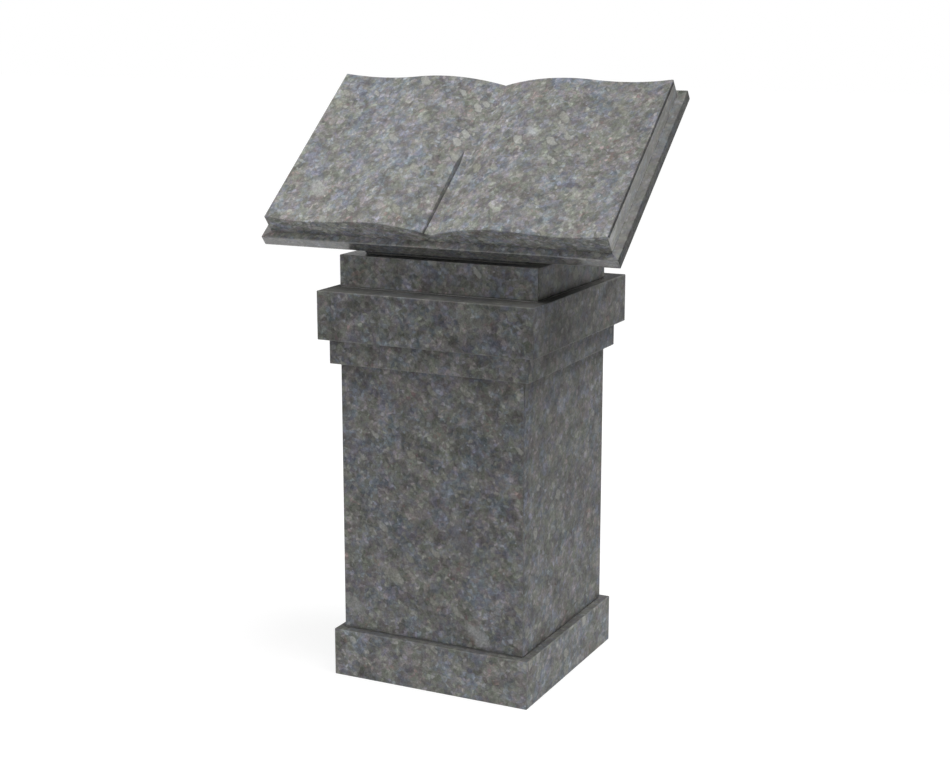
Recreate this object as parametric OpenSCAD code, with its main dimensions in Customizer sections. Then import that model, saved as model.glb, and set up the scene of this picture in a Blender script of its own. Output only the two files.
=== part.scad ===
// Cremation pedestal memorial: an open granite book on a stacked granite pedestal.
// Millimetres, +Z up, the readable side towards -Y, origin at the middle of the plinth's underside.

/* [Shaft] */
// Width of the shaft, side to side
shaft_w = 305; // [230:1:400]
// Depth of the shaft, front to back
shaft_d = 305; // [260:1:400]
// Height of the shaft stone
shaft_h = 419.5; // [200:0.5:900]

/* [Plinth] */
// How far the plinth stands out past the shaft, all round
plinth_step = 12.5; // [5:0.5:60]
// Height of the plinth
plinth_h = 75; // [40:0.5:150]

/* [Collar and cap] */
// How far the collar stands out past the shaft, all round
collar_step = 12.5; // [5:0.5:24]
// Height of the collar
collar_h = 36.5; // [20:0.5:80]
// How far the cap stands out past the collar, all round
cap_step = 13; // [4:0.5:40]
// Height of the cap
cap_h = 74.5; // [40:0.5:140]

/* [Neck] */
// How far the neck's two sides stand in from the cap's sides
neck_side_set = 14; // [6:0.5:40]
// How far the neck's front stands in from the cap's front
neck_front_set = 46; // [20:0.5:60]
// How far the neck's back stands in from the cap's back
neck_back_set = 56; // [20:0.5:80]
// Height of the neck
neck_h = 48; // [25:0.5:90]

/* [Setting joints] */
// Thickness of the setting compound between two stones
bed_t = 1.5; // [1:0.1:4]
// How far the compound is raked back from the face of the smaller stone
bed_set = 1.5; // [1.5:0.5:12]

/* [Book rest] */
// How far the rest's sides stand in from the sides of the neck, or of the book if that is narrower
rest_side_set = 30; // [20:0.5:80]
// How far the rest's front stands in from the neck's, and its back from the neck's or the book's
rest_end_set = 25; // [15:0.5:50]

/* [Book] */
// Width of the cover board across both pages
book_w = 584; // [440:1:760]
// Length of the cover board up its slope
book_l = 353; // [320:1:440]
// Thickness of the cover board
board_t = 17; // [10:0.5:30]
// Margin of cover board that shows round the pages
board_margin = 12.5; // [6:0.5:25]
// Slope of the book from level, in degrees
slope = 38.8; // [25:0.1:45]
// How far the cover's lower edge stands in front of the neck
overhang = 7; // [0:0.5:30]
// Height of the cover's lower edge above the neck
edge_gap = 8.5; // [6:0.5:30]

/* [Pages] */
// Height of the pages at the outer edges and at the two crowns
page_t = 31.7; // [26:0.1:45]
// Depth of the hollow between the outer edge and the crown of a page
page_wave = 6.2; // [4:0.1:7.5]
// Place of the crown, as a share of one page's width from the gutter
crown_at = 0.388; // [0.36:0.002:0.4]
// Place of the hollow's lowest line, as a share of one page's width
hollow_at = 0.732; // [0.725:0.001:0.76]
// How far the cut line stands to the left of the gutter
cut_set = 11.5; // [8:0.5:20]
// Length of the cut line from the pages' lower ends
cut_l = 148; // [60:1:220]
// Depth of the cut line at the pages' lower ends
cut_d_low = 2.8; // [1:0.1:5]
// Depth of the cut line where it stops
cut_d_stop = 5; // [2:0.1:7]

/* [Finish] */
// Width of the eased arris on the stones' edges
arris = 1.2; // [0.5:0.1:3]

/* [Hidden] */

// Plan sizes, each stepped from the stone below it
plinth_w = shaft_w + 2 * plinth_step;
plinth_d = shaft_d + 2 * plinth_step;
collar_w = shaft_w + 2 * collar_step;
collar_d = shaft_d + 2 * collar_step;
cap_w = collar_w + 2 * cap_step;
cap_d = collar_d + 2 * cap_step;
neck_w = cap_w - 2 * neck_side_set;
neck_front = -cap_d / 2 + neck_front_set;
neck_back = cap_d / 2 - neck_back_set;
neck_d = neck_back - neck_front;
neck_y = (neck_back + neck_front) / 2;

// Heights of the undersides, with a joint between each pair of stones
shaft_z = plinth_h + bed_t;
collar_z = shaft_z + shaft_h + bed_t;
cap_z = collar_z + collar_h + bed_t;
neck_z = cap_z + cap_h + bed_t;
neck_top = neck_z + neck_h;
rest_z = neck_top + bed_t;

// The cover's lower edge, and the rest that follows the underside of the cover
book_y = neck_front - overhang;
book_z = neck_top + edge_gap;
book_back = book_y + book_l * cos(slope);
rest_w = min(neck_w, book_w) - 2 * rest_side_set;
rest_front = neck_front + rest_end_set;
rest_back = min(neck_back, book_back) - rest_end_set;
function rest_top(y) = book_z + (y - book_y) * tan(slope) - bed_t / cos(slope);
function along_slope(y) = (y - book_y) / cos(slope) - bed_t * tan(slope);

// Page profile: a crown and a hollow made of two arcs that run smoothly into each other
half_page = book_w / 2 - board_margin;
page_l = book_l - 2 * board_margin;
land = 3;
crown_x = crown_at * half_page;
hollow_x = hollow_at * half_page;
hollow_z = page_t - page_wave;
rise_run = half_page - land - hollow_x;
hollow_r = (rise_run * rise_run + page_wave * page_wave) / (2 * page_wave);
span = hollow_x - crown_x;
crown_r = (span * span + page_wave * page_wave) / (2 * page_wave) - hollow_r;
turn_x = crown_x + span * crown_r / (crown_r + hollow_r);
cut_z = page_t - crown_r + sqrt(crown_r * crown_r - pow(crown_x - cut_set, 2));
cut_tilt = atan((cut_d_stop - cut_d_low) / cut_l);
cut_wall = 1.5;
spare = 20;

// Rectangle with its corners cut at 45 degrees
module eased_rect(w, d) {
    x = w / 2;
    y = d / 2;
    polygon([[x - arris, -y], [x, arris - y], [x, y - arris], [x - arris, y],
             [arris - x, y], [-x, y - arris], [-x, arris - y], [arris - x, -y]]);
}

// Sawn block with every edge eased, centred on X and Y and standing on z = 0
module eased_block(w, d, h) {
    intersection() {
        linear_extrude(h) eased_rect(w, d);
        translate([0, d / 2, h / 2]) rotate([90, 0, 0]) linear_extrude(d) eased_rect(w, h);
        translate([-w / 2, 0, h / 2]) rotate([90, 0, 90]) linear_extrude(w) eased_rect(d, h);
    }
}

// Bed of setting compound, raked back from the edges of the smaller of the two stones it joins
module bed(w, d) {
    translate([bed_set - w / 2, bed_set - d / 2, 0]) cube([w - 2 * bed_set, d - 2 * bed_set, bed_t]);
}

// Puts its children in the book's frame: X across, Y up the slope, Z out of the page
module on_slope() {
    translate([0, book_y, book_z]) rotate([slope, 0, 0]) children();
}

// Inner part of one page, from the gutter over the crown
module page_crown() {
    intersection() {
        cube([turn_x, page_l, page_t + spare]);
        translate([crown_x, -spare, page_t - crown_r]) rotate([-90, 0, 0])
            cylinder(r = crown_r, h = page_l + 2 * spare, $fn = 256);
    }
}

// Outer part of one page, hollowed and rising to the fore-edge
module page_hollow() {
    difference() {
        translate([turn_x, 0, 0]) cube([half_page - turn_x, page_l, page_t]);
        translate([hollow_x, -spare, hollow_z + hollow_r]) rotate([-90, 0, 0])
            cylinder(r = hollow_r, h = page_l + 2 * spare, $fn = 256);
    }
}

// V-shaped cut line beside the gutter, with walls that rise 3 in 2, shallower to the front
module cut_line() {
    translate([-cut_set, cut_l, cut_z]) rotate([90 - cut_tilt, 0, 0]) linear_extrude(cut_l + spare)
        polygon([[0, -cut_d_stop], [2 * cut_d_stop / cut_wall, cut_d_stop],
                 [-2 * cut_d_stop / cut_wall, cut_d_stop]]);
}

module plinth() {
    color("dimgray") eased_block(plinth_w, plinth_d, plinth_h);
}

module shaft_bed() {
    color("darkslategray") translate([0, 0, plinth_h]) bed(shaft_w, shaft_d);
}

module shaft() {
    color("dimgray") translate([0, 0, shaft_z]) eased_block(shaft_w, shaft_d, shaft_h);
}

module collar_bed() {
    color("darkslategray") translate([0, 0, collar_z - bed_t]) bed(shaft_w, shaft_d);
}

module collar() {
    color("dimgray") translate([0, 0, collar_z]) eased_block(collar_w, collar_d, collar_h);
}

module cap_bed() {
    color("darkslategray") translate([0, 0, cap_z - bed_t]) bed(collar_w, collar_d);
}

module cap() {
    color("dimgray") translate([0, 0, cap_z]) eased_block(cap_w, cap_d, cap_h);
}

module neck_bed() {
    color("darkslategray") translate([0, neck_y, neck_z - bed_t]) bed(neck_w, neck_d);
}

module neck() {
    color("dimgray") translate([0, neck_y, neck_z]) eased_block(neck_w, neck_d, neck_h);
}

module rest_bed() {
    color("darkslategray") translate([0, (rest_back + rest_front) / 2, neck_top])
        bed(rest_w, rest_back - rest_front);
}

// Desk-shaped stone whose sloped top follows the underside of the cover
module book_rest() {
    color("dimgray") translate([-rest_w / 2, 0, 0]) rotate([90, 0, 90]) linear_extrude(rest_w)
        polygon([[rest_front, rest_z], [rest_back, rest_z],
                 [rest_back, rest_top(rest_back)], [rest_front, rest_top(rest_front)]]);
}

module book_bed() {
    low = along_slope(rest_front);
    high = along_slope(rest_back);
    color("darkslategray") on_slope() translate([0, (low + high) / 2, -bed_t]) bed(rest_w, high - low);
}

module cover_board() {
    color("gray") on_slope() translate([0, book_l / 2, 0]) eased_block(book_w, book_l, board_t);
}

module page_block() {
    color("darkgray") on_slope() translate([0, board_margin, board_t]) difference() {
        union() {
            page_crown();
            page_hollow();
            mirror([1, 0, 0]) page_crown();
            mirror([1, 0, 0]) page_hollow();
        }
        cut_line();
    }
}

plinth();
shaft_bed();
shaft();
collar_bed();
collar();
cap_bed();
cap();
neck_bed();
neck();
rest_bed();
book_rest();
book_bed();
cover_board();
page_block();
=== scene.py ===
# %% [markdown]
# # An open book in granite on a square pedestal
# The memorial is a stack of sawn and polished granite stones: plinth, shaft, collar, cap and neck.
# A wedge-shaped stone on the neck carries a cover board, and a block of pages lies on the board.
# The model that holds the sizes is loaded first. Each of its nodes is then replaced by a finely
# finished piece of the same size, so nothing here is fitted by eye.

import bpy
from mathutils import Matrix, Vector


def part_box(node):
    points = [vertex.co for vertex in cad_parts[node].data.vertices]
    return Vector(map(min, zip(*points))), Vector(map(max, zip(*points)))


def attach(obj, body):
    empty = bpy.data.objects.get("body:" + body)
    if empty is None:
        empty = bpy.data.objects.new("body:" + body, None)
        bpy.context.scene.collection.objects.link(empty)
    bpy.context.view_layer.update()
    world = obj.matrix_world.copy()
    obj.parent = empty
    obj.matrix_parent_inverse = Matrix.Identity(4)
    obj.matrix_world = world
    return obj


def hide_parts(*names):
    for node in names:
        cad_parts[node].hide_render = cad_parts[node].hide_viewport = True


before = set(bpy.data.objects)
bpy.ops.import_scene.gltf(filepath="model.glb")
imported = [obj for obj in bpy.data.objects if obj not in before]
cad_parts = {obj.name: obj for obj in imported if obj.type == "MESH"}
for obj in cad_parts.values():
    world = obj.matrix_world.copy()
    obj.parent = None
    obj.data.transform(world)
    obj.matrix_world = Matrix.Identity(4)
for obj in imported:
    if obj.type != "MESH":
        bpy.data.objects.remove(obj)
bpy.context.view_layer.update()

# %% Other modules
import math

import bmesh
import bpy
from mathutils import Vector

# %% [markdown]
# ## Millimetres and a clean start
# A mason works in millimetres and Blender in metres, so one short name keeps the sizes readable.
# Loading leaves the sized nodes selected, and an operator acts on all that is selected. Every step
# therefore begins with nothing selected.

# %% Millimetres and deselecting
MM = 0.001


def deselect():
    """Leaves nothing selected, so that the next operator acts on its own piece only."""
    bpy.ops.object.select_all(action="DESELECT")


deselect()
print("nodes to replace:", ", ".join(sorted(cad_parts)))

# %% [markdown]
# ## A sawn block
# Every stone starts as a block off the saw. A cube could be scaled on its object, but then bevels
# come out uneven and the object stays scaled. So the cube is given its real size and place, and
# both are applied to its mesh.


# %% A block between two corners
def sawn_block(name, low, high):
    """A block with one corner at low and the other at high, its place in its mesh."""
    deselect()
    low, high = Vector(low), Vector(high)
    bpy.ops.mesh.primitive_cube_add(size=1, location=(low + high) / 2)
    block = bpy.context.active_object
    block.name = block.data.name = name
    block.scale = high - low
    bpy.ops.object.transform_apply(location=True, rotation=True, scale=True)
    return block


# %% [markdown]
# ## Picking edges and faces
# By hand they are clicked. In a script they are chosen by a test on their place or their normal.


# %% Pick by a test
def pick(piece, kind, test):
    """In edit mode, selects the edges or faces that pass the test, and nothing else."""
    bpy.ops.mesh.select_mode(type={"edges": "EDGE", "faces": "FACE"}[kind])
    bpy.ops.mesh.select_all(action="DESELECT")
    mesh = bmesh.from_edit_mesh(piece.data)
    mesh.normal_update()
    chosen = [part for part in getattr(mesh, kind) if test(part)]
    for part in chosen:
        part.select_set(True)
    mesh.select_flush_mode()
    bmesh.update_edit_mesh(piece.data)
    return len(chosen)


# %% [markdown]
# ## Eased arrises
# An arris is the edge where two faces of a stone meet. Left sharp it chips, so the mason rubs it
# down to a narrow round. A bevel of three segments has that shape. On its own it would shade the
# whole face as if it bulged, because smooth shading spreads from a face's corners. An inset just
# inside each face keeps the rounding within a narrow border. The border also carries the wear:
# a value named "arris" is 1 on the round and fades to 0 across the border.

# %% Ease the arrises
ARRIS = 1.2 * MM
BORDER = 1.6 * MM
SHARP = math.radians(30)
SLIM = 0.9 * MM


def is_sharp(edge):
    return len(edge.link_faces) == 2 and edge.calc_face_angle() > SHARP


def is_slim(face):
    """True for the narrow faces that a bevel leaves."""
    return face.calc_area() < SLIM * max(edge.calc_length() for edge in face.edges)


def ease_arrises(piece, skip=lambda edge: False, width=ARRIS):
    """Rounds the sharp edges, borders the faces and sets the arris value."""
    deselect()
    piece.select_set(True)
    bpy.context.view_layer.objects.active = piece
    bpy.ops.object.mode_set(mode="EDIT")
    eased = pick(piece, "edges", lambda edge: is_sharp(edge) and not skip(edge))
    bpy.ops.mesh.bevel(offset=width, offset_type="OFFSET", segments=3, profile=0.5,
                       affect="EDGES", clamp_overlap=True)
    fields = pick(piece, "faces", lambda face: not is_slim(face))
    bpy.ops.mesh.inset(thickness=BORDER, use_boundary=True, use_even_offset=True)
    mesh = bmesh.from_edit_mesh(piece.data)
    arris = mesh.verts.layers.float.new("arris")
    for vert in mesh.verts:
        vert[arris] = 0.0 if vert.select else 1.0
    bmesh.update_edit_mesh(piece.data)
    bpy.ops.object.mode_set(mode="OBJECT")
    bpy.ops.object.shade_smooth_by_angle(angle=SHARP)
    print(f"{piece.name}: {eased} arrises eased, {fields} faces bordered, "
          f"{len(piece.data.polygons)} faces")


# %% [markdown]
# ## Where the stone lay in the quarry
# The crystals of granite run through the whole block, so their pattern is worked out from a point's
# place and not painted on a surface. Each stone was cut from another part of the block. A value
# named "quarry" keeps each corner's place there, and so one finish serves every stone. Granite has
# a grain, so its crystals look longer on one face than on another. Here the place is multiplied by
# a grain: below 1 it draws the crystals out, and above 1 it presses them together. They are larger
# on the pedestal's left and right faces, most of all from front to back. In the book they are half
# as thick, and so they look drawn out along its thin edges.

# %% Quarry places
FRONT_GRAIN = Vector((1, 1, 1))
SIDE_GRAIN = Vector((1, 0.75, 0.85))
BENCH_GRAIN = Vector((1.1, 2, 1))
NEXT_STONE = Vector((0.73, 0.41, 0.59))
SIDEWAYS = 0.7
stones = {}


def mark_quarry(piece, upright=True):
    """Stores the place in the quarry block. On the bench Y and Z change places, so that the slant
    of the crystals lies in the page."""
    start = NEXT_STONE * (len(stones) + 1)
    places = []
    for face in piece.data.polygons:
        on_side = upright and abs(face.normal.x) > SIDEWAYS
        grain = (SIDE_GRAIN if on_side else FRONT_GRAIN) if upright else BENCH_GRAIN
        for point in face.vertices:
            x, y, z = piece.data.vertices[point].co
            places.extend(start + grain * Vector((x, y, z) if upright else (x, z, y)))
    piece.data.attributes.new("quarry", "FLOAT_VECTOR", "CORNER").data.foreach_set("vector", places)


def mark_points(piece, name, level):
    """Stores a value at each point of a piece, worked out from its place by level."""
    levels = [level(vert.co) for vert in piece.data.vertices]
    piece.data.attributes.new(name, "FLOAT", "POINT").data.foreach_set("value", levels)
    return sum(value > 0 for value in levels)


# %% [markdown]
# ## The pedestal's stones
# Plinth, shaft, collar, cap and neck are plain blocks, so one loop makes them from their boxes.

# %% Cut the pedestal's stones
# The tops of the plinth and the cap are marked for painted shade, which darkens their ledges.
SHADED_LEDGES = {"plinth": 0.5, "cap": 1.0}
for node in ("plinth", "shaft", "collar", "cap", "neck"):
    low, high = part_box(node)
    stone = sawn_block(node + "_stone", low, high)
    ease_arrises(stone)
    mark_quarry(stone)
    ledge = high.z - 0.1 * MM if node in SHADED_LEDGES else math.inf
    shaded = mark_points(stone, "painted_shade", lambda place: SHADED_LEDGES[node] if place.z > ledge else 0.0)
    print(f"{node}: {shaded} dirty points on its ledge")
    stones[node] = stone

# %% [markdown]
# ## The book's slope
# The book is made flat on a bench and laid on its slope when it is finished, as in a yard. On the
# bench X runs across both pages, Y up the page and Z out of the page. The bench's zero is the
# middle of the cover board's lower edge, on its underside.

# %% Book sizes
SLOPE = math.radians(38.8)
BOOK_W, BOOK_L, BOARD_T, MARGIN = 584 * MM, 353 * MM, 17 * MM, 12.5 * MM
BED_T = 1.5 * MM
BOOK_ZERO = Vector((0, -139 * MM, 668 * MM))
OUT_OF_PAGE = Vector((0, -math.sin(SLOPE), math.cos(SLOPE)))
DOWN_SLOPE = Vector((0, -math.cos(SLOPE), -math.sin(SLOPE)))
print("the book leans back", round(math.degrees(SLOPE), 1), "degrees")


def lay_on_slope(piece):
    """Turns a piece from the bench to the slope and applies its place to its mesh."""
    deselect()
    piece.select_set(True)
    bpy.context.view_layer.objects.active = piece
    piece.location = BOOK_ZERO
    piece.rotation_euler = (SLOPE, 0, 0)
    bpy.ops.object.transform_apply(location=True, rotation=True, scale=True)


# %% [markdown]
# ## The book's rest
# This stone stands on the neck, well inside its edges, and holds the book up at its slope. It is a
# block with its top sawn off on the slope. A bisect with a fill does what the saw does. The saw
# line lies one joint's thickness under the cover board.

# %% Saw the rest
rest_low, rest_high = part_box("book_rest")
rest = sawn_block("book_rest_stone", rest_low, rest_high)
bpy.ops.object.mode_set(mode="EDIT")
bpy.ops.mesh.select_all(action="SELECT")
bpy.ops.mesh.bisect(plane_co=BOOK_ZERO - OUT_OF_PAGE * BED_T, plane_no=OUT_OF_PAGE,
                    use_fill=True, clear_outer=True)
bpy.ops.object.mode_set(mode="OBJECT")
ease_arrises(rest)
mark_quarry(rest)
stones["book_rest"] = rest

# %% [markdown]
# ## The cover board
# A flat slab that stands out past the pages as a real book's cover does.

# %% Cut the cover board
UNDER_PAGES, BROAD_AREA = 0.5 * MM, 0.05
cover = sawn_block("cover_board_stone", (-BOOK_W / 2, 0, 0), (BOOK_W / 2, BOOK_L, BOARD_T))
ease_arrises(cover)

# The border round the pages is marked off by an inset, so that its corners are mitred. Its inner
# line lies just under the pages. Only the face for the pages is as broad as BROAD_AREA
bpy.ops.object.mode_set(mode="EDIT")
pick(cover, "faces", lambda face: face.normal.z > 0.99 and face.calc_area() > BROAD_AREA)
bpy.ops.mesh.inset(thickness=MARGIN + UNDER_PAGES - ARRIS - BORDER, use_even_offset=True)
bpy.ops.object.mode_set(mode="OBJECT")
mark_quarry(cover, upright=False)
lay_on_slope(cover)
stones["cover_board"] = cover

# %% [markdown]
# ## The page block
# Seen from its lower end, each page rises from the gutter over a round crown, dips to a hollow and
# rises again to the fore-edge. The crown and the hollow are parts of two circles that run smoothly
# into each other. So the outline is drawn by spinning one point round the crown's centre and then
# round the hollow's. The line is extruded up the page, mirrored, and extruded down to the board.

# %% Page outline
HALF_PAGE, PAGE_L, PAGE_T = BOOK_W / 2 - MARGIN, BOOK_L - 2 * MARGIN, 31.7 * MM
WAVE, LAND = 6.2 * MM, 3 * MM
CROWN_X, HOLLOW_X = 0.388 * HALF_PAGE, 0.732 * HALF_PAGE
rise = HALF_PAGE - LAND - HOLLOW_X
span = HOLLOW_X - CROWN_X
HOLLOW_R = (rise ** 2 + WAVE ** 2) / (2 * WAVE)
CROWN_R = (span ** 2 + WAVE ** 2) / (2 * WAVE) - HOLLOW_R
TURN_X = CROWN_X + span * CROWN_R / (CROWN_R + HOLLOW_R)
crown_centre = Vector((CROWN_X, MARGIN, BOARD_T + PAGE_T - CROWN_R))
hollow_centre = Vector((HOLLOW_X, MARGIN, BOARD_T + PAGE_T - WAVE + HOLLOW_R))


def crown_height(x):
    """Height of the page over the bench at a distance from the gutter."""
    return crown_centre.z + math.sqrt(CROWN_R ** 2 - (x - CROWN_X) ** 2)


print(f"crown radius {CROWN_R / MM:.1f} mm, hollow radius {HOLLOW_R / MM:.1f} mm, "
      f"gutter at height {crown_height(0) / MM:.2f} mm")

# %% Draw one page and extrude it
deselect()
bpy.ops.mesh.primitive_plane_add(size=MM, location=(0, MARGIN, crown_height(0)))
pages = bpy.context.active_object
pages.name = pages.data.name = "page_block_stone"
bpy.ops.object.transform_apply(location=True, rotation=True, scale=True)
bpy.ops.object.mode_set(mode="EDIT")
bpy.ops.mesh.select_mode(type="VERT")
bpy.ops.mesh.select_all(action="SELECT")
bpy.ops.mesh.merge(type="CENTER")


def turn_of(from_x, to_x, centre, radius):
    """Angle between two places on a circle, seen from its centre."""
    return math.asin((to_x - centre.x) / radius) - math.asin((from_x - centre.x) / radius)


def move_by(x=0.0, y=0.0, z=0.0):
    """Extrudes what is selected by a step."""
    bpy.ops.mesh.extrude_region_move(TRANSFORM_OT_translate={"value": (x, y, z)})


bpy.ops.mesh.spin(steps=26, angle=turn_of(0, TURN_X, crown_centre, CROWN_R),
                  center=crown_centre, axis=(0, -1, 0))
bpy.ops.mesh.spin(steps=22, angle=turn_of(TURN_X, HALF_PAGE - LAND, hollow_centre, HOLLOW_R),
                  center=hollow_centre, axis=(0, 1, 0))
move_by(x=LAND)
bpy.ops.mesh.select_all(action="SELECT")
move_by(y=PAGE_L)
ends = [tuple(round(c / MM, 2) for c in v.co) for v in bmesh.from_edit_mesh(pages.data).verts]
print("page line runs from", min(ends), "to", max(ends))

# %% Mirror the page, wall it in and close it underneath
bpy.ops.mesh.select_all(action="SELECT")
bpy.ops.mesh.duplicate()
bpy.ops.transform.resize(value=(-1, 1, 1), center_override=(0, 0, 0))
bpy.ops.mesh.select_all(action="SELECT")
bpy.ops.mesh.remove_doubles(threshold=0.01 * MM)
pick(pages, "edges", lambda edge: edge.is_boundary)
move_by(z=-PAGE_T)
bpy.ops.transform.resize(value=(1, 1, 0), center_override=(0, 0, BOARD_T))
bpy.ops.mesh.edge_face_add()
bpy.ops.mesh.select_all(action="SELECT")
bpy.ops.mesh.normals_make_consistent(inside=False)
bpy.ops.object.mode_set(mode="OBJECT")


def tight(edge):
    """True for edges that stay sharp: those on the board and the crease of the gutter."""
    a, b = (vert.co for vert in edge.verts)
    on_board = max(a.z, b.z) < BOARD_T + 0.1 * MM
    return on_board or max(abs(a.x), abs(b.x)) < 0.1 * MM


ease_arrises(pages, skip=tight)

# %% [markdown]
# ## The cut line
# On the left-hand page a V-shaped cut runs beside the gutter, from the lower end to just past the
# middle. A disc makes such a cut: it goes in at the end of the stone, sinks a little deeper as it
# travels, and lifts out. The waste is modelled as a solid of its own, a three-sided bar with a
# point, and a Boolean modifier takes it out of the stone.

# %% Saw the cut line
CUT_X, CUT_WALL, HEADROOM = -11.5 * MM, 1.5, 6 * MM
CUT_START, CUT_DEPTH = -8 * MM, 2.7 * MM
CUT_STEPS = [(148 * MM, 5 * MM), (178 * MM, 0.0)]
page_level = crown_height(-CUT_X)
deselect()
bpy.ops.mesh.primitive_plane_add(size=MM, location=(CUT_X, MARGIN + CUT_START,
                                                    page_level - CUT_DEPTH))
waste = bpy.context.active_object
bpy.ops.object.mode_set(mode="EDIT")
bpy.ops.mesh.select_mode(type="VERT")
bpy.ops.mesh.select_all(action="SELECT")
bpy.ops.mesh.merge(type="CENTER")
half = (HEADROOM + CUT_DEPTH) / CUT_WALL
move_by(x=half, z=HEADROOM + CUT_DEPTH)
move_by(x=-2 * half)
bpy.ops.mesh.select_all(action="SELECT")
bpy.ops.mesh.edge_face_add()
y, depth = CUT_START, CUT_DEPTH
for next_y, next_depth in CUT_STEPS:
    move_by(y=next_y - y)
    grown = (HEADROOM + next_depth) / (HEADROOM + depth)
    bpy.ops.transform.resize(value=(grown, 1, grown),
                             center_override=(CUT_X, 0, page_level + HEADROOM))
    y, depth = next_y, next_depth
bpy.ops.mesh.select_all(action="SELECT")
bpy.ops.mesh.normals_make_consistent(inside=False)
bpy.ops.object.mode_set(mode="OBJECT")
saw = pages.modifiers.new("Cut line", "BOOLEAN")
saw.operation, saw.object, saw.solver = "DIFFERENCE", waste, "EXACT"
deselect()
pages.select_set(True)
bpy.context.view_layer.objects.active = pages
bpy.ops.object.modifier_apply(modifier="Cut line")
bpy.data.objects.remove(waste)
# The floor of the cut is marked for painted shade, which darkens it as if shadowed.
shaded = mark_points(pages, "painted_shade", lambda place: float(abs(place.x - CUT_X) < 0.1 * MM
                                             and BOARD_T + MM < place.z < page_level - 0.2 * MM))
print("page block with its cut:", len(pages.data.vertices), "points,", shaded, "on the cut's floor")

# %% [markdown]
# ## Two finishes on the fore-edges
# The ends of the page block by the fore-edges are rubbed up to a line and painted paler, as painted
# light, and the strip above it is buffed and painted darker, as painted shade. So each end is
# divided along that line, and its lower part takes another finish.

# %% Divide the fore-edges
RUBBED_TO = BOARD_T + 25 * MM
bpy.ops.object.mode_set(mode="EDIT")
pick(pages, "faces", lambda face: abs(face.normal.x) > 0.99
     and abs(face.calc_center_median().x) > HALF_PAGE - MM)
bpy.ops.mesh.bisect(plane_co=(0, 0, RUBBED_TO), plane_no=(0, 0, 1))
bpy.ops.object.mode_set(mode="OBJECT")
print("page block divided:", len(pages.data.polygons), "faces")

mark_quarry(pages, upright=False)
lay_on_slope(pages)
stones["page_block"] = pages

# %% [markdown]
# ## Beds of setting compound
# The stones sit on thin beds of setting compound, filled out almost to the face, so that the joints
# hardly show. The compound is paler than the stone, partly its own colour and partly painted light
# that lightens the shaded joints. The tool leaves such a joint slightly hollow. Each bed is a thin
# slab, cut round its middle, with that line drawn in.

# %% Make the beds
HOLLOW = 0.3 * MM


def hollow_joint(bed, level, out):
    """Cuts the bed round at its middle and draws the cut line in."""
    deselect()
    bed.select_set(True)
    bpy.context.view_layer.objects.active = bed
    bpy.ops.object.mode_set(mode="EDIT")
    bpy.ops.mesh.select_all(action="SELECT")
    bpy.ops.mesh.bisect(plane_co=level, plane_no=out)
    wide, deep = bed.dimensions.x, bed.dimensions.y
    bpy.ops.transform.resize(value=(1 - 2 * HOLLOW / wide, 1 - 2 * HOLLOW / deep, 1),
                             center_override=level)
    bpy.ops.object.mode_set(mode="OBJECT")


beds = {}
for node in ("shaft_bed", "collar_bed", "cap_bed", "neck_bed", "rest_bed"):
    low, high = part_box(node)
    bed = sawn_block(node + "_compound", low, high)
    hollow_joint(bed, (low + high) / 2, (0, 0, 1))
    beds[node] = bed

# The book's bed lies on the slope, so it is made on the bench
BED_SET = 1.5 * MM
up_slope = [(y - BOOK_ZERO.y) / math.cos(SLOPE) - BED_T * math.tan(SLOPE)
            for y in (rest_low.y, rest_high.y)]
low = Vector((rest_low.x + BED_SET, up_slope[0] + BED_SET, -BED_T))
high = Vector((rest_high.x - BED_SET, up_slope[1] - BED_SET, 0))
book_bed = sawn_block("book_bed_compound", low, high)
hollow_joint(book_bed, (low + high) / 2, (0, 0, 1))
lay_on_slope(book_bed)
beds["book_bed"] = book_bed
print("beds:", ", ".join(beds))

# %% [markdown]
# ## Building finishes from nodes
# A finish is a tree of nodes. Two helpers keep it readable: one adds a node and fills its sockets,
# the other starts a group with named sockets.


# %% Node helpers
def add(tree, kind, inputs=None, **settings):
    """Adds one node. Each input is either a value or the output of another node."""
    node = tree.nodes.new("ShaderNode" + kind)
    for name, value in settings.items():
        setattr(node, name, value)
    for name, value in (inputs or {}).items():
        if isinstance(value, bpy.types.NodeSocket):
            tree.links.new(value, node.inputs[name])
        else:
            node.inputs[name].default_value = value
    return node


def maths(tree, operation, *values, clamp=False):
    node = add(tree, "Math", dict(enumerate(values)), operation=operation, use_clamp=clamp)
    return node.outputs[0]


def blend(tree, share, first, second, mode="MIX"):
    """Mixes two colours. The colour sockets of a Mix node are numbers 6 and 7."""
    node = add(tree, "Mix", {0: share, 6: first, 7: second}, data_type="RGBA", blend_type=mode,
               clamp_factor=True)
    return node.outputs[2]


def ramp(tree, value, stops):
    """A colour ramp. Each stop is a place and a colour, or a place and a grey level."""
    node = add(tree, "ValToRGB", {"Fac": value})
    band = node.color_ramp.elements
    while len(band) < len(stops):
        band.new(0.5)
    for element, (place, level) in zip(band, stops):
        element.position = place
        element.color = (*level, 1) if isinstance(level, tuple) else (level, level, level, 1)
    return node.outputs["Color"]


def smooth_step(tree, value, low, high, to_low=0.0, to_high=1.0):
    node = add(tree, "MapRange", {"Value": value, "From Min": low, "From Max": high,
                                  "To Min": to_low, "To Max": to_high},
               interpolation_type="SMOOTHSTEP")
    return node.outputs["Result"]


def new_group(name, inputs, outputs):
    """A shader node group. Returns the group, the sockets inside its input and its output."""
    group = bpy.data.node_groups.new(name, "ShaderNodeTree")
    for label, kind, start in inputs:
        socket = group.interface.new_socket(label, in_out="INPUT", socket_type="NodeSocket" + kind)
        if start is not None:
            socket.default_value = start
    for label, kind in outputs:
        group.interface.new_socket(label, in_out="OUTPUT", socket_type="NodeSocket" + kind)
    enter = group.nodes.new("NodeGroupInput")
    leave = group.nodes.new("NodeGroupOutput")
    return group, enter.outputs, leave.inputs


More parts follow.
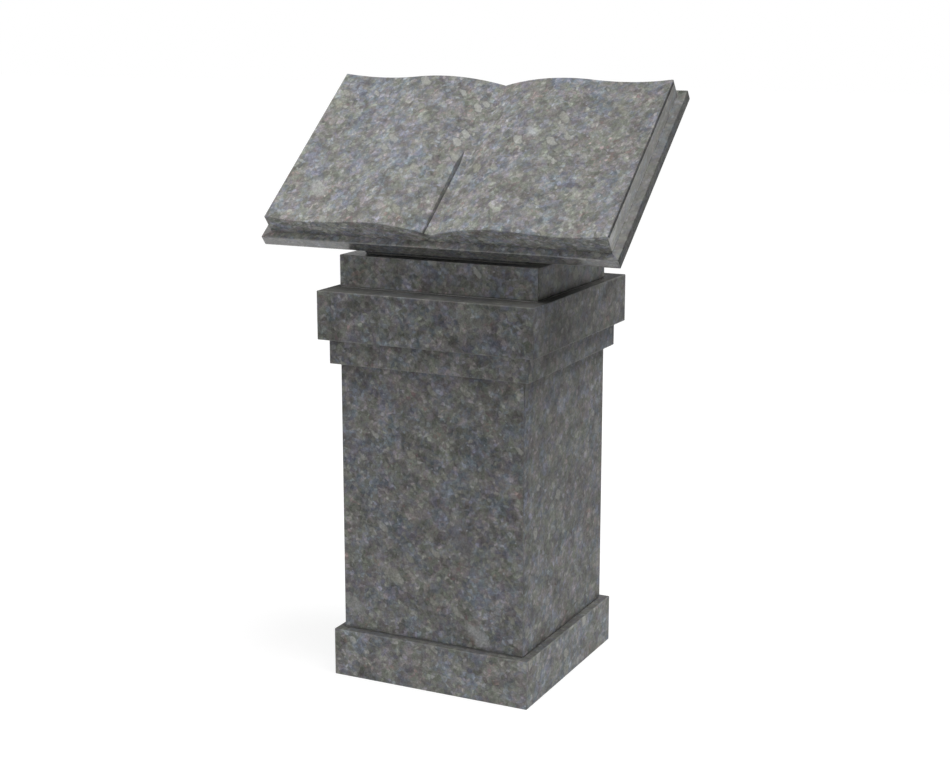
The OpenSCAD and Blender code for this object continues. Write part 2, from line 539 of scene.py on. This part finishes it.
def use(tree, group, inputs):
    """Places a group in a tree and fills its sockets."""
    node = add(tree, "Group", node_tree=group)
    for name, value in inputs.items():
        if isinstance(value, bpy.types.NodeSocket):
            tree.links.new(value, node.inputs[name])
        else:
            node.inputs[name].default_value = value
    return node.outputs


# %% [markdown]
# ## Crystals
# Granite is a tight mass of crystals. A Voronoi pattern divides space into cells, and each cell
# has a random colour of its own, so it serves for crystals. Noise bends the places first, and so
# the crystals curl and lose their straight sides. A darker seam runs where two crystals meet.

# %% Bent places
bent, enter, leave = new_group(
    "Bent places",
    [("Place", "Vector", None), ("Scale", "Float", 200.0), ("Amount", "Float", 0.002)],
    [("Place", "Vector")])
tree = bent
wobble = add(tree, "TexNoise", {"Vector": enter["Place"], "Scale": enter["Scale"], "Detail": 2.0})
wobble = add(tree, "VectorMath", {0: wobble.outputs["Color"], 1: (0.5, 0.5, 0.5)},
             operation="SUBTRACT").outputs[0]
wobble = add(tree, "VectorMath", {0: wobble, "Scale": enter["Amount"]},
             operation="SCALE").outputs[0]
moved = add(tree, "VectorMath", {0: enter["Place"], 1: wobble}, operation="ADD").outputs[0]
tree.links.new(moved, leave["Place"])
print("bent places:", len(tree.nodes), "nodes")

# %% Crystal grains
crystal_grains, enter, leave = new_group(
    "Crystal grains",
    [("Place", "Vector", None), ("Crystal size", "Float", 0.004), ("Seam", "Float", 0.1)],
    [("Pick", "Float"), ("Tone", "Float"), ("Third", "Float"), ("Seams", "Float")])
tree = crystal_grains
inverse = maths(tree, "DIVIDE", 1.0, enter["Crystal size"])
scaled = add(tree, "VectorMath", {0: enter["Place"], "Scale": inverse},
             operation="SCALE").outputs[0]
cells = add(tree, "TexVoronoi", {"Vector": scaled, "Scale": 1.0, "Smoothness": 0.6},
            feature="SMOOTH_F1")
border = add(tree, "TexVoronoi", {"Vector": scaled, "Scale": 1.0}, feature="DISTANCE_TO_EDGE")
seams = maths(tree, "DIVIDE", border.outputs["Distance"], enter["Seam"], clamp=True)
tree.links.new(maths(tree, "SUBTRACT", 1.0, seams), leave["Seams"])
parts = add(tree, "SeparateColor", {"Color": cells.outputs["Color"]}).outputs
for number, label in enumerate(("Pick", "Tone", "Third")):
    tree.links.new(parts[number], leave[label])
print("crystal grains:", len(tree.nodes), "nodes")

# %% [markdown]
# ## Scattered crystals
# Pale feldspar, dark clots, small bright flecks and a few large crystals lie here and there in the
# mass. Only some cells of a wider Voronoi pattern hold one. It fills part of its cell, and noise
# breaks its outline. The stone next to such a crystal can be a little darker, and a second mask
# gives that rim.

# %% Scattered crystals
scattered, enter, leave = new_group(
    "Scattered crystals",
    [("Place", "Vector", None), ("Spacing", "Float", 0.04), ("Share", "Float", 0.3),
     ("Fill", "Float", 0.3), ("Softness", "Float", 0.08)],
    [("Mask", "Float"), ("Rim", "Float"), ("Tone", "Float")])
tree = scattered
inverse = maths(tree, "DIVIDE", 1.0, enter["Spacing"])
scaled = add(tree, "VectorMath", {0: enter["Place"], "Scale": inverse},
             operation="SCALE").outputs[0]
cells = add(tree, "TexVoronoi", {"Vector": scaled, "Scale": 1.0}, feature="F1")
parts = add(tree, "SeparateColor", {"Color": cells.outputs["Color"]}).outputs
held = maths(tree, "LESS_THAN", parts[0], enter["Share"])
size = maths(tree, "MULTIPLY", enter["Fill"], maths(tree, "ADD", 0.5, parts[1]))
inside = maths(tree, "SUBTRACT", size, cells.outputs["Distance"])
inside = maths(tree, "DIVIDE", inside, enter["Softness"])
within = maths(tree, "MULTIPLY", inside, 1.0, clamp=True)
rim = maths(tree, "SUBTRACT", 1.0, maths(tree, "ABSOLUTE", inside), clamp=True)
tree.links.new(maths(tree, "MULTIPLY", within, held), leave["Mask"])
tree.links.new(maths(tree, "MULTIPLY", rim, held), leave["Rim"])
tree.links.new(parts[2], leave["Tone"])
print("scattered crystals:", len(tree.nodes), "nodes")

# %% [markdown]
# ## The body of the granite
# The mass is grey. Its light and dark comes from three sizes of crystal. Its hue drifts between
# blue-grey, olive and rust from zone to zone, and from crystal to crystal between a green and a
# mauve cast. Pale feldspar laths lie on the slant, and so do a few large crystals, dark or pale.
# Last of all a fine speckle covers everything.

# %% Granite body
granite, enter, leave = new_group(
    "Grey granite",
    [("Quarry place", "Vector", None), ("Level", "Float", 1.0)],
    [("Color", "Color"), ("Relief", "Float"), ("Softer crystals", "Float")])
tree = granite
place = enter["Quarry place"]
curled = use(tree, bent, {"Place": place, "Scale": 85.0, "Amount": 10 * MM})["Place"]
ragged = use(tree, bent, {"Place": curled, "Scale": 420.0, "Amount": 2.5 * MM})["Place"]

fine = use(tree, crystal_grains, {"Place": ragged, "Crystal size": 3.6 * MM, "Seam": 0.12})
middle = use(tree, crystal_grains, {"Place": ragged, "Crystal size": 5.8 * MM, "Seam": 0.10})
broad = use(tree, crystal_grains, {"Place": curled, "Crystal size": 13 * MM, "Seam": 0.07})

# Hue: broad zones, stirred by the crystals
zones = add(tree, "TexNoise", {"Vector": place, "Scale": 26.0, "Detail": 2.0}).outputs["Fac"]
hue = maths(tree, "MULTIPLY_ADD", zones, 1.5, -0.25)
hue = maths(tree, "MULTIPLY_ADD", maths(tree, "SUBTRACT", middle["Pick"], 0.5), 0.60, hue)
hue = maths(tree, "MULTIPLY_ADD", maths(tree, "SUBTRACT", fine["Pick"], 0.5), 0.20, hue, clamp=True)
HUES = [(0.0, (0.215, 0.238, 0.280)), (0.26, (0.228, 0.238, 0.256)), (0.42, (0.237, 0.235, 0.236)),
        (0.58, (0.239, 0.237, 0.222)), (0.74, (0.228, 0.232, 0.202)), (0.86, (0.240, 0.232, 0.220)),
        (1.0, (0.272, 0.224, 0.206))]
colour = ramp(tree, hue, HUES)

# Green against mauve, by crystals of two sizes
cast = maths(tree, "MULTIPLY", middle["Third"], 0.5)
cast = maths(tree, "MULTIPLY_ADD", broad["Third"], 0.5, cast)
CASTS = [(0.2, (0.93, 0.995, 0.95)), (0.5, (0.98, 0.98, 0.995)), (0.8, (1.0, 0.93, 1.015))]
colour = blend(tree, 1.0, colour, ramp(tree, cast, CASTS), "MULTIPLY")


def shade(colour, value, low, high):
    """Multiplies a colour by a tone that runs from low to high as the value runs from 0 to 1."""
    tone = add(tree, "MapRange", {"Value": value, "To Min": low, "To Max": high}).outputs[0]
    return blend(tree, 1.0, colour, tone, "MULTIPLY")


# Few crystals are light. A ramp's sliders end at 1, so it holds half of each tone, which is then
# doubled
LIGHT_FEW = [(0.0, 0.70), (0.3, 0.88), (0.6, 1.01), (0.82, 1.13), (0.93, 1.36), (1.0, 1.50)]
half_tone = ramp(tree, middle["Tone"], [(at, tone / 2) for at, tone in LIGHT_FEW])
colour = shade(blend(tree, 1.0, colour, half_tone, "MULTIPLY"), 1.0, 0.0, 2.0)
colour = shade(colour, broad["Tone"], 0.80, 1.20)
colour = shade(colour, middle["Seams"], 1.0, 0.93)
colour = shade(colour, broad["Seams"], 1.0, 0.90)
drift = add(tree, "TexNoise", {"Vector": place, "Scale": 38.0, "Detail": 3.0}).outputs["Fac"]
colour = shade(colour, smooth_step(tree, drift, 0.3, 0.7), 0.82, 1.18)

# Feldspar laths: the pattern is turned on the slant and drawn out along it
slant = add(tree, "Mapping", {"Vector": curled, "Rotation": (0, math.radians(-48), 0),
                              "Scale": (1.0, 1.0, 2.2)}, vector_type="TEXTURE").outputs[0]
laths = use(tree, scattered, {"Place": slant, "Spacing": 20 * MM, "Share": 0.30, "Fill": 0.30,
                              "Softness": 0.09})
colour = blend(tree, maths(tree, "MULTIPLY", laths["Rim"], 0.35), colour, (0.11, 0.11, 0.11, 1))
lath_tone = ramp(tree, laths["Tone"], [(0.0, (0.270, 0.275, 0.225)), (0.6, (0.340, 0.342, 0.310)),
                                       (1.0, (0.46, 0.465, 0.44))])
colour = blend(tree, maths(tree, "MULTIPLY", laths["Mask"], 0.62), colour, lath_tone)

clots = use(tree, scattered, {"Place": curled, "Spacing": 30 * MM, "Share": 0.30, "Fill": 0.30,
                              "Softness": 0.22})
colour = blend(tree, maths(tree, "MULTIPLY", clots["Mask"], 0.45), colour,
               (0.085, 0.080, 0.078, 1))

flecks = use(tree, scattered, {"Place": curled, "Spacing": 10 * MM, "Share": 0.36, "Fill": 0.17,
                               "Softness": 0.16})
colour = blend(tree, maths(tree, "MULTIPLY", flecks["Mask"], 0.55), colour,
               (0.44, 0.46, 0.50, 1))

# The largest crystals are far apart and drawn out on the slant too, from dark through mauve and
# olive to nearly white
large = use(tree, scattered, {"Place": slant, "Spacing": 42 * MM, "Share": 0.30, "Fill": 0.24,
                              "Softness": 0.14})
LARGE_TONES = [(0.0, (0.10, 0.10, 0.10)), (0.2, (0.20, 0.185, 0.20)), (0.4, (0.29, 0.285, 0.225)),
               (0.7, (0.34, 0.345, 0.325)), (1.0, (0.50, 0.52, 0.55))]
large_tone = ramp(tree, large["Tone"], LARGE_TONES)
colour = blend(tree, maths(tree, "MULTIPLY", large["Mask"], 0.55), colour, large_tone)

# The smallest crystals lie over everything, also within the large ones
speckle = add(tree, "TexNoise", {"Vector": place, "Scale": 420.0, "Detail": 1.0}).outputs["Fac"]
colour = shade(colour, fine["Tone"], 0.86, 1.14)
colour = shade(colour, smooth_step(tree, speckle, 0.35, 0.65), 0.90, 1.10)
colour = blend(tree, 1.0, colour, enter["Level"], "MULTIPLY")
tree.links.new(colour, leave["Color"])
tree.links.new(fine["Third"], leave["Relief"])
tree.links.new(clots["Mask"], leave["Softer crystals"])
print("granite group:", len(tree.nodes), "nodes")

# %% [markdown]
# ## Wear on the arrises
# Polish wears off first on the rounds, and the stone shows paler and rougher there. The value that
# was stored with the arrises says where, and noise breaks it up along the edge.

# %% Arris wear
arris_wear, enter, leave = new_group(
    "Arris wear",
    [("Place", "Vector", None), ("Amount", "Float", 0.7)],
    [("Mask", "Float")])
tree = arris_wear
edge = add(tree, "Attribute", attribute_name="arris").outputs["Fac"]
patchy = add(tree, "TexNoise", {"Vector": enter["Place"], "Scale": 90.0, "Detail": 3.0})
patchy = smooth_step(tree, patchy.outputs["Fac"], 0.35, 0.62, 0.45, 1.0)
worn = maths(tree, "MULTIPLY", maths(tree, "POWER", edge, 1.5), patchy)
tree.links.new(maths(tree, "MULTIPLY", worn, enter["Amount"]), leave["Mask"])
print("arris wear:", len(tree.nodes), "nodes")

# %% [markdown]
# ## Dust
# Out of doors a thin film of dust settles on faces that look up.

# %% Settled dust
settled_dust, enter, leave = new_group(
    "Settled dust",
    [("Place", "Vector", None), ("Amount", "Float", 0.15)],
    [("Mask", "Float")])
tree = settled_dust
up = add(tree, "SeparateXYZ", {0: add(tree, "NewGeometry").outputs["Normal"]}).outputs[2]
up = smooth_step(tree, up, 0.35, 0.95)
cloud = add(tree, "TexNoise", {"Vector": enter["Place"], "Scale": 14.0, "Detail": 5.0})
cloud = smooth_step(tree, cloud.outputs["Fac"], 0.3, 0.7)
settled = maths(tree, "MULTIPLY", maths(tree, "MULTIPLY", up, cloud), enter["Amount"])
tree.links.new(settled, leave["Mask"])
print("settled dust:", len(tree.nodes), "nodes")

# %% [markdown]
# ## Polished granite
# The large faces have an even, quiet polish. The softer crystals polish less well and leave shallow
# pits, so roughness and relief both follow the crystals. The ledges and the floor of the cut line
# are painted dark where a stored value says so: this is painted shade, and they are rougher there
# too.
# Wear and dust lie on top. A value named "tone" makes each stone lighter or darker as painted light
# and shade: the stones darken from the plinth up to the cap, which lies under the book, and the
# pages are the palest.


# %% Polished finish
def new_material(name):
    material = bpy.data.materials.new(name)
    material.use_nodes = True
    material.node_tree.nodes.clear()
    return material, material.node_tree


PAINTED_SHADE_COLOUR, WORN, DUST = (0.050, 0.052, 0.050, 1), (0.33, 0.33, 0.32, 1), (0.40, 0.38, 0.34, 1)
polished, tree = new_material("Polished grey granite")
quarry = add(tree, "Attribute", attribute_name="quarry").outputs["Vector"]
# The tone value paints each stone lighter or darker, as painted light and shade.
tone = add(tree, "Attribute", attribute_name="tone").outputs["Fac"]
stone = use(tree, granite, {"Quarry place": quarry, "Level": tone})
own_place = add(tree, "TexCoord").outputs["Object"]
wear = use(tree, arris_wear, {"Place": own_place, "Amount": 0.16})["Mask"]
dust = use(tree, settled_dust, {"Place": own_place, "Amount": 0.12})["Mask"]
# Painted shade: ledges and the cut's floor are blended towards a near-black colour.
painted_shade = add(tree, "Attribute", attribute_name="painted_shade").outputs["Fac"]
painted_shade = maths(tree, "MULTIPLY", maths(tree, "POWER", painted_shade, 0.4), 0.70)
colour = blend(tree, painted_shade, stone["Color"], PAINTED_SHADE_COLOUR)
colour = blend(tree, wear, colour, WORN)
colour = blend(tree, dust, colour, DUST)
rough = maths(tree, "MULTIPLY_ADD", stone["Relief"], 0.10, 0.26)
rough = maths(tree, "MULTIPLY_ADD", stone["Softer crystals"], 0.10, rough)
rough = maths(tree, "MULTIPLY_ADD", wear, 0.30, rough)
rough = maths(tree, "MULTIPLY_ADD", painted_shade, 0.60, rough)
rough = maths(tree, "MULTIPLY_ADD", dust, 0.50, rough, clamp=True)
bump = add(tree, "Bump", {"Strength": 0.12, "Distance": 0.15 * MM, "Height": stone["Relief"]})
shader = add(tree, "BsdfPrincipled", {"Base Color": colour, "Roughness": rough, "IOR": 1.5,
                                      "Specular IOR Level": 0.03, "Normal": bump.outputs[0]})
add(tree, "OutputMaterial", {"Surface": shader.outputs[0]})

# %% [markdown]
# ## Sawn granite
# Undersides stay as the saw left them: matt, paler, with the faint arcs of a big disc.

# %% Sawn finish
sawn, tree = new_material("Sawn grey granite")
quarry = add(tree, "Attribute", attribute_name="quarry").outputs["Vector"]
stone = use(tree, granite, {"Quarry place": quarry, "Level": 1.0})
own_place = add(tree, "TexCoord").outputs["Object"]
centred = add(tree, "Mapping", {"Vector": own_place, "Location": (-0.9, 0.4, 0.0)}).outputs[0]
arcs = add(tree, "TexWave", {"Vector": centred, "Scale": 34.0, "Distortion": 1.2, "Detail": 3.0,
                             "Detail Scale": 2.0}, wave_type="RINGS", rings_direction="Z")
arcs = arcs.outputs["Fac"]
colour = blend(tree, 0.30, stone["Color"], (0.30, 0.30, 0.29, 1))
colour = blend(tree, maths(tree, "MULTIPLY", arcs, 0.10), colour, (0.36, 0.36, 0.35, 1))
height = maths(tree, "ADD", maths(tree, "MULTIPLY", arcs, 0.6), stone["Relief"])
bump = add(tree, "Bump", {"Strength": 0.5, "Distance": 0.3 * MM, "Height": height})
rough = maths(tree, "MULTIPLY_ADD", stone["Relief"], 0.15, 0.62)
shader = add(tree, "BsdfPrincipled", {"Base Color": colour, "Roughness": rough, "IOR": 1.5,
                                      "Specular IOR Level": 0.22, "Normal": bump.outputs[0]})
add(tree, "OutputMaterial", {"Surface": shader.outputs[0]})

# %% [markdown]
# ## Honed and rubbed granite, painted paler
# The cover's border at its left and right is rubbed smooth but not polished. A honed face is a
# little paler than a polished one, because its fine scratches scatter the light, and here it is
# painted paler still, as painted light. The lower part of the fore-edges, which stands for the cut
# edges of the leaves, is left a step rougher and is painted much paler, as painted light. Two
# numbers set
# this: how bright the crystals are, and how much of the pale film lies over them.


# %% Honed finish
PALE_FILM_AND_PAINTED_LIGHT, WORN_HONED = (0.60, 0.60, 0.58, 1), (0.38, 0.38, 0.37, 1)


def honed_and_lit_finish(name, level, paleness, roughness):
    """Granite rubbed with grit and not polished: its crystals at a level, under a pale film that
    paints light on it.
    """
    material, tree = new_material(name)
    quarry = add(tree, "Attribute", attribute_name="quarry").outputs["Vector"]
    stone = use(tree, granite, {"Quarry place": quarry, "Level": level})
    own_place = add(tree, "TexCoord").outputs["Object"]
    wear = use(tree, arris_wear, {"Place": own_place, "Amount": 0.4})["Mask"]
    dust = use(tree, settled_dust, {"Place": own_place, "Amount": 0.2})["Mask"]
    colour = blend(tree, paleness, stone["Color"], PALE_FILM_AND_PAINTED_LIGHT)
    colour = blend(tree, wear, colour, WORN_HONED)
    colour = blend(tree, dust, colour, DUST)
    scratches = add(tree, "TexNoise", {"Vector": own_place, "Scale": 1600.0, "Detail": 1.0})
    height = maths(tree, "ADD", maths(tree, "MULTIPLY", scratches.outputs["Fac"], 0.5),
                   stone["Relief"])
    bump = add(tree, "Bump", {"Strength": 0.2, "Distance": 0.15 * MM, "Height": height})
    rough = maths(tree, "MULTIPLY_ADD", stone["Relief"], 0.12, roughness)
    shader = add(tree, "BsdfPrincipled", {"Base Color": colour, "Roughness": rough, "IOR": 1.5,
                                          "Specular IOR Level": 0.03,
                                          "Normal": bump.outputs[0]})
    add(tree, "OutputMaterial", {"Surface": shader.outputs[0]})
    return material


# Painted light: the border is painted a little paler and the lower fore-edges much paler.
honed = honed_and_lit_finish("Honed grey granite with painted light", 1.0, 0.22, 0.48)
rubbed = honed_and_lit_finish("Rubbed grey granite with painted light", 2.1, 0.50, 0.58)

# %% [markdown]
# ## Buffed edges, painted darker
# The thin edges of the book were buffed longest. The closer the polish, the less light scatters at
# the face, and the stone looks a little darker there; here its colour is also painted darker, as
# painted shade. The cover's front edge is a mirror, over a colour painted darker in the same way.


# %% Buffed finish
WORN_BUFFED = (0.25, 0.25, 0.24, 1)


def buffed_and_shaded_finish(name, level, gloss, coat):
    """Granite with a close polish and a gloss, its colour painted darker to a level as painted
    shade.
    """
    material, tree = new_material(name)
    quarry = add(tree, "Attribute", attribute_name="quarry").outputs["Vector"]
    stone = use(tree, granite, {"Quarry place": quarry, "Level": level})
    own_place = add(tree, "TexCoord").outputs["Object"]
    wear = use(tree, arris_wear, {"Place": own_place, "Amount": 0.1})["Mask"]
    colour = blend(tree, wear, stone["Color"], WORN_BUFFED)
    rough = maths(tree, "MULTIPLY_ADD", stone["Relief"], 0.08, 0.14)
    rough = maths(tree, "MULTIPLY_ADD", wear, 0.30, rough)
    bump = add(tree, "Bump", {"Strength": 0.1, "Distance": 0.1 * MM,
                              "Height": stone["Relief"]})
    shader = add(tree, "BsdfPrincipled", {"Base Color": colour, "Roughness": rough, "IOR": 1.5,
                                          "Specular IOR Level": gloss,
                                          "Coat Weight": coat, "Coat Roughness": 0.1,
                                          "Normal": bump.outputs[0]})
    add(tree, "OutputMaterial", {"Surface": shader.outputs[0]})
    return material


# Painted shade: the buffed edges at half the stone's level, the mirror edge at a little more.
buffed = buffed_and_shaded_finish("Buffed grey granite with painted shade", 0.50, 0.03, 0.0)
mirror = buffed_and_shaded_finish("Mirror polished grey granite with painted shade", 0.58, 0.8, 1.0)

# %% [markdown]
# ## Setting compound
# A grey putty with sand in it, matt and a little uneven. It is paler than the stone: partly its own
# colour and partly painted light that lightens the shaded joints.

# %% Setting compound
compound, tree = new_material("Setting compound")
own_place = add(tree, "TexCoord").outputs["Object"]
sand = add(tree, "TexNoise", {"Vector": own_place, "Scale": 900.0, "Detail": 2.0}).outputs["Fac"]
smear = add(tree, "TexNoise", {"Vector": own_place, "Scale": 60.0, "Detail": 4.0}).outputs["Fac"]
colour = ramp(tree, maths(tree, "MULTIPLY_ADD", sand, 0.5, maths(tree, "MULTIPLY", smear, 0.5)),
              [(0.3, (0.24, 0.24, 0.235)), (0.7, (0.44, 0.435, 0.42))])
bump = add(tree, "Bump", {"Strength": 0.4, "Distance": 0.3 * MM, "Height": sand})
shader = add(tree, "BsdfPrincipled", {"Base Color": colour, "Roughness": 0.85,
                                      "Normal": bump.outputs[0]})
add(tree, "OutputMaterial", {"Surface": shader.outputs[0]})

# %% [markdown]
# ## Each piece takes its finish and its node's place
# Faces that look steeply down are left sawn. The cover's border at its left and right is honed and
# the lower part of the fore-edges is rubbed; both are painted paler, as painted light. The strip
# above it and the cover's side edges are buffed, and the cover's front edge is polished like a
# mirror; these are painted darker, as painted shade. All other faces have the quiet polish.

# %% Finish the pieces
DOWN, TOWARDS, SQUARE_ON = -0.7, 0.9, 0.99
POLISHED, SAWN, HONED, RUBBED, BUFFED, MIRROR = range(6)


def finish_of(node, face):
    """Number of the finish that a face takes, from the way it looks and its height."""
    if face.normal.z < DOWN:
        return SAWN
    at_side = abs(face.normal.x) > TOWARDS
    height = (face.center - BOOK_ZERO).dot(OUT_OF_PAGE)
    if node == "cover_board" and at_side:
        return BUFFED
    if node == "cover_board" and face.normal.dot(DOWN_SLOPE) > TOWARDS:
        return MIRROR
    if node == "cover_board" and face.normal.dot(OUT_OF_PAGE) > SQUARE_ON:
        return HONED if abs(face.center.x) > HALF_PAGE else POLISHED
    if node == "page_block" and at_side:
        return RUBBED if height < RUBBED_TO else BUFFED
    return POLISHED


# Painted light and shade: stones darken from the plinth up to the cap, and the pages are lighter.
TONES = {"plinth": 1.08, "shaft": 0.955, "collar": 0.90, "cap": 0.80, "page_block": 1.28}
for node, stone in stones.items():
    mark_points(stone, "tone", lambda place: TONES.get(node, 1.0))
    for finish in (polished, sawn, honed, rubbed, buffed, mirror):
        stone.data.materials.append(finish)
    for face in stone.data.polygons:
        face.material_index = finish_of(node, face)
    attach(stone, "root")
    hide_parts(node)
for node, bed in beds.items():
    bed.data.materials.append(compound)
    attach(bed, "root")
    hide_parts(node)
print(len(stones), "stones and", len(beds), "beds")

# %% [markdown]
# ## Floor
# A plain pale floor. For the camera and for reflections it is lifted to white by light of its own,
# and the object's shadow still falls on it. For the light that it throws back on to the stones its
# colour is painted pale close to the object and grey farther off: a painted pool of light, as under
# a lamp whose pool ends some way out.

# %% Floor
SKY, SUN, SUN_SPREAD = 0.02, 2.35, 40
SUN_WAY = Vector((-0.4, -0.03, -1)).normalized()
FLOOR_GREY = 0.3
FLOOR_GLOW = 1.01 - FLOOR_GREY * (SKY - SUN * SUN_WAY.z / math.pi)
POOL_NEAR, POOL_FAR, POOL_PALE = 0.45, 1.4, 0.95
POOL_CENTRE = (0.3, 0.0, 0)
deselect()
bpy.ops.mesh.primitive_plane_add(size=40, location=(0, 0, 0))
floor = bpy.context.active_object
floor.name = floor.data.name = "studio_floor"
pale, tree = new_material("Pale floor")
rays = add(tree, "LightPath").outputs
seen = maths(tree, "MAXIMUM", rays["Is Camera Ray"],
             maths(tree, "MAXIMUM", rays["Is Glossy Ray"], rays["Is Transmission Ray"]))
from_base = add(tree, "VectorMath", {0: add(tree, "TexCoord").outputs["Object"],
                                     1: POOL_CENTRE}, operation="DISTANCE").outputs["Value"]
# Painted pool of light: the bounced colour is pale near the base and grey farther out.
pool = smooth_step(tree, from_base, POOL_NEAR, POOL_FAR, POOL_PALE, FLOOR_GREY)
pool = add(tree, "CombineColor", {0: pool, 1: pool, 2: pool}).outputs[0]
bounced = add(tree, "BsdfDiffuse", {"Color": pool}).outputs[0]
plain = add(tree, "BsdfDiffuse", {"Color": (FLOOR_GREY, FLOOR_GREY, FLOOR_GREY, 1)}).outputs[0]
glow = add(tree, "Emission", {"Color": (1, 1, 1, 1), "Strength": FLOOR_GLOW}).outputs[0]
lifted = add(tree, "AddShader", {0: plain, 1: glow}).outputs[0]
mixed = add(tree, "MixShader", {0: seen, 1: bounced, 2: lifted}).outputs[0]
add(tree, "OutputMaterial", {"Surface": mixed})
floor.data.materials.append(pale)
print("the floor's own light:", round(FLOOR_GLOW, 3))

# %% [markdown]
# ## Sky and lamps
# The studio is white to the camera and in reflections. As light on the stones it is even and weak.
# One wide lamp overhead, a little to the right, gives the main light, so that faces that look up
# are the brightest. Softer lamps stand to the left, in front and at the back. The front one is low
# and reaches in under the cover.

# %% World
world = bpy.data.worlds.new("Studio")
bpy.context.scene.world = world
world.use_nodes = True
tree = world.node_tree
tree.nodes.clear()
rays = add(tree, "LightPath").outputs
seen = maths(tree, "MAXIMUM", rays["Is Camera Ray"],
             maths(tree, "MAXIMUM", rays["Is Glossy Ray"], rays["Is Transmission Ray"]))
strength = add(tree, "MapRange", {"Value": seen, "To Min": SKY, "To Max": 1.0}).outputs[0]
sky = add(tree, "Background", {"Color": (1, 1, 1, 1), "Strength": strength}).outputs[0]
add(tree, "OutputWorld", {"Surface": sky})
print("the sky's light on the stones:", SKY)


# %% Lamps
def soft_lamp(name, strength, spread, direction):
    """A lamp as wide as a whole patch of sky, given by its spread in degrees."""
    lamp = bpy.data.lights.new(name, "SUN")
    lamp.energy, lamp.angle = strength, math.radians(spread)
    holder = bpy.data.objects.new(name, lamp)
    bpy.context.scene.collection.objects.link(holder)
    holder.rotation_euler = direction.to_track_quat("-Z", "Y").to_euler()


def side_lamp(name, place, aim, size, watts):
    """A square lamp that points from its place to its aim."""
    lamp = bpy.data.lights.new(name, "AREA")
    lamp.shape, lamp.size, lamp.energy = "SQUARE", size, watts
    holder = bpy.data.objects.new(name, lamp)
    bpy.context.scene.collection.objects.link(holder)
    holder.location = place
    holder.rotation_euler = (Vector(aim) - Vector(place)).to_track_quat("-Z", "Y").to_euler()
    holder.visible_glossy = False


soft_lamp("Overhead", SUN, SUN_SPREAD, SUN_WAY)
side_lamp("Left", (-1.75, -1.05, 1.9), (0, 0, 0.7), 1.3, 24)
side_lamp("Front", (-1.0, -2.2, 1.05), (0, 0, 0.66), 0.9, 8)
side_lamp("Back", (-0.6, 2.4, 1.5), (0, 0, 0.6), 0.9, 16)
print("lamps:", ", ".join(lamp.name for lamp in bpy.data.lights))

# %% [markdown]
# ## Camera
# It stands in front of the right-hand corner, a little above the pages, and looks slightly down.

# %% Camera
AZIMUTH, ELEVATION = math.radians(26.08), math.radians(12.18)
EYE, SENSOR, LENS = (1.1402, -2.3321, 1.0160), 36, 64.52
camera_data = bpy.data.cameras.new("Camera")
camera_data.sensor_width, camera_data.lens = SENSOR, LENS
camera = bpy.data.objects.new("Camera", camera_data)
bpy.context.scene.collection.objects.link(camera)
camera.location = EYE
camera.rotation_euler = (math.radians(90) - ELEVATION, 0, AZIMUTH)
bpy.context.scene.camera = camera
bpy.context.scene.view_settings.view_transform = "Standard"
print(f"camera {EYE[2]:.2f} m above the ground, lens {LENS} mm")
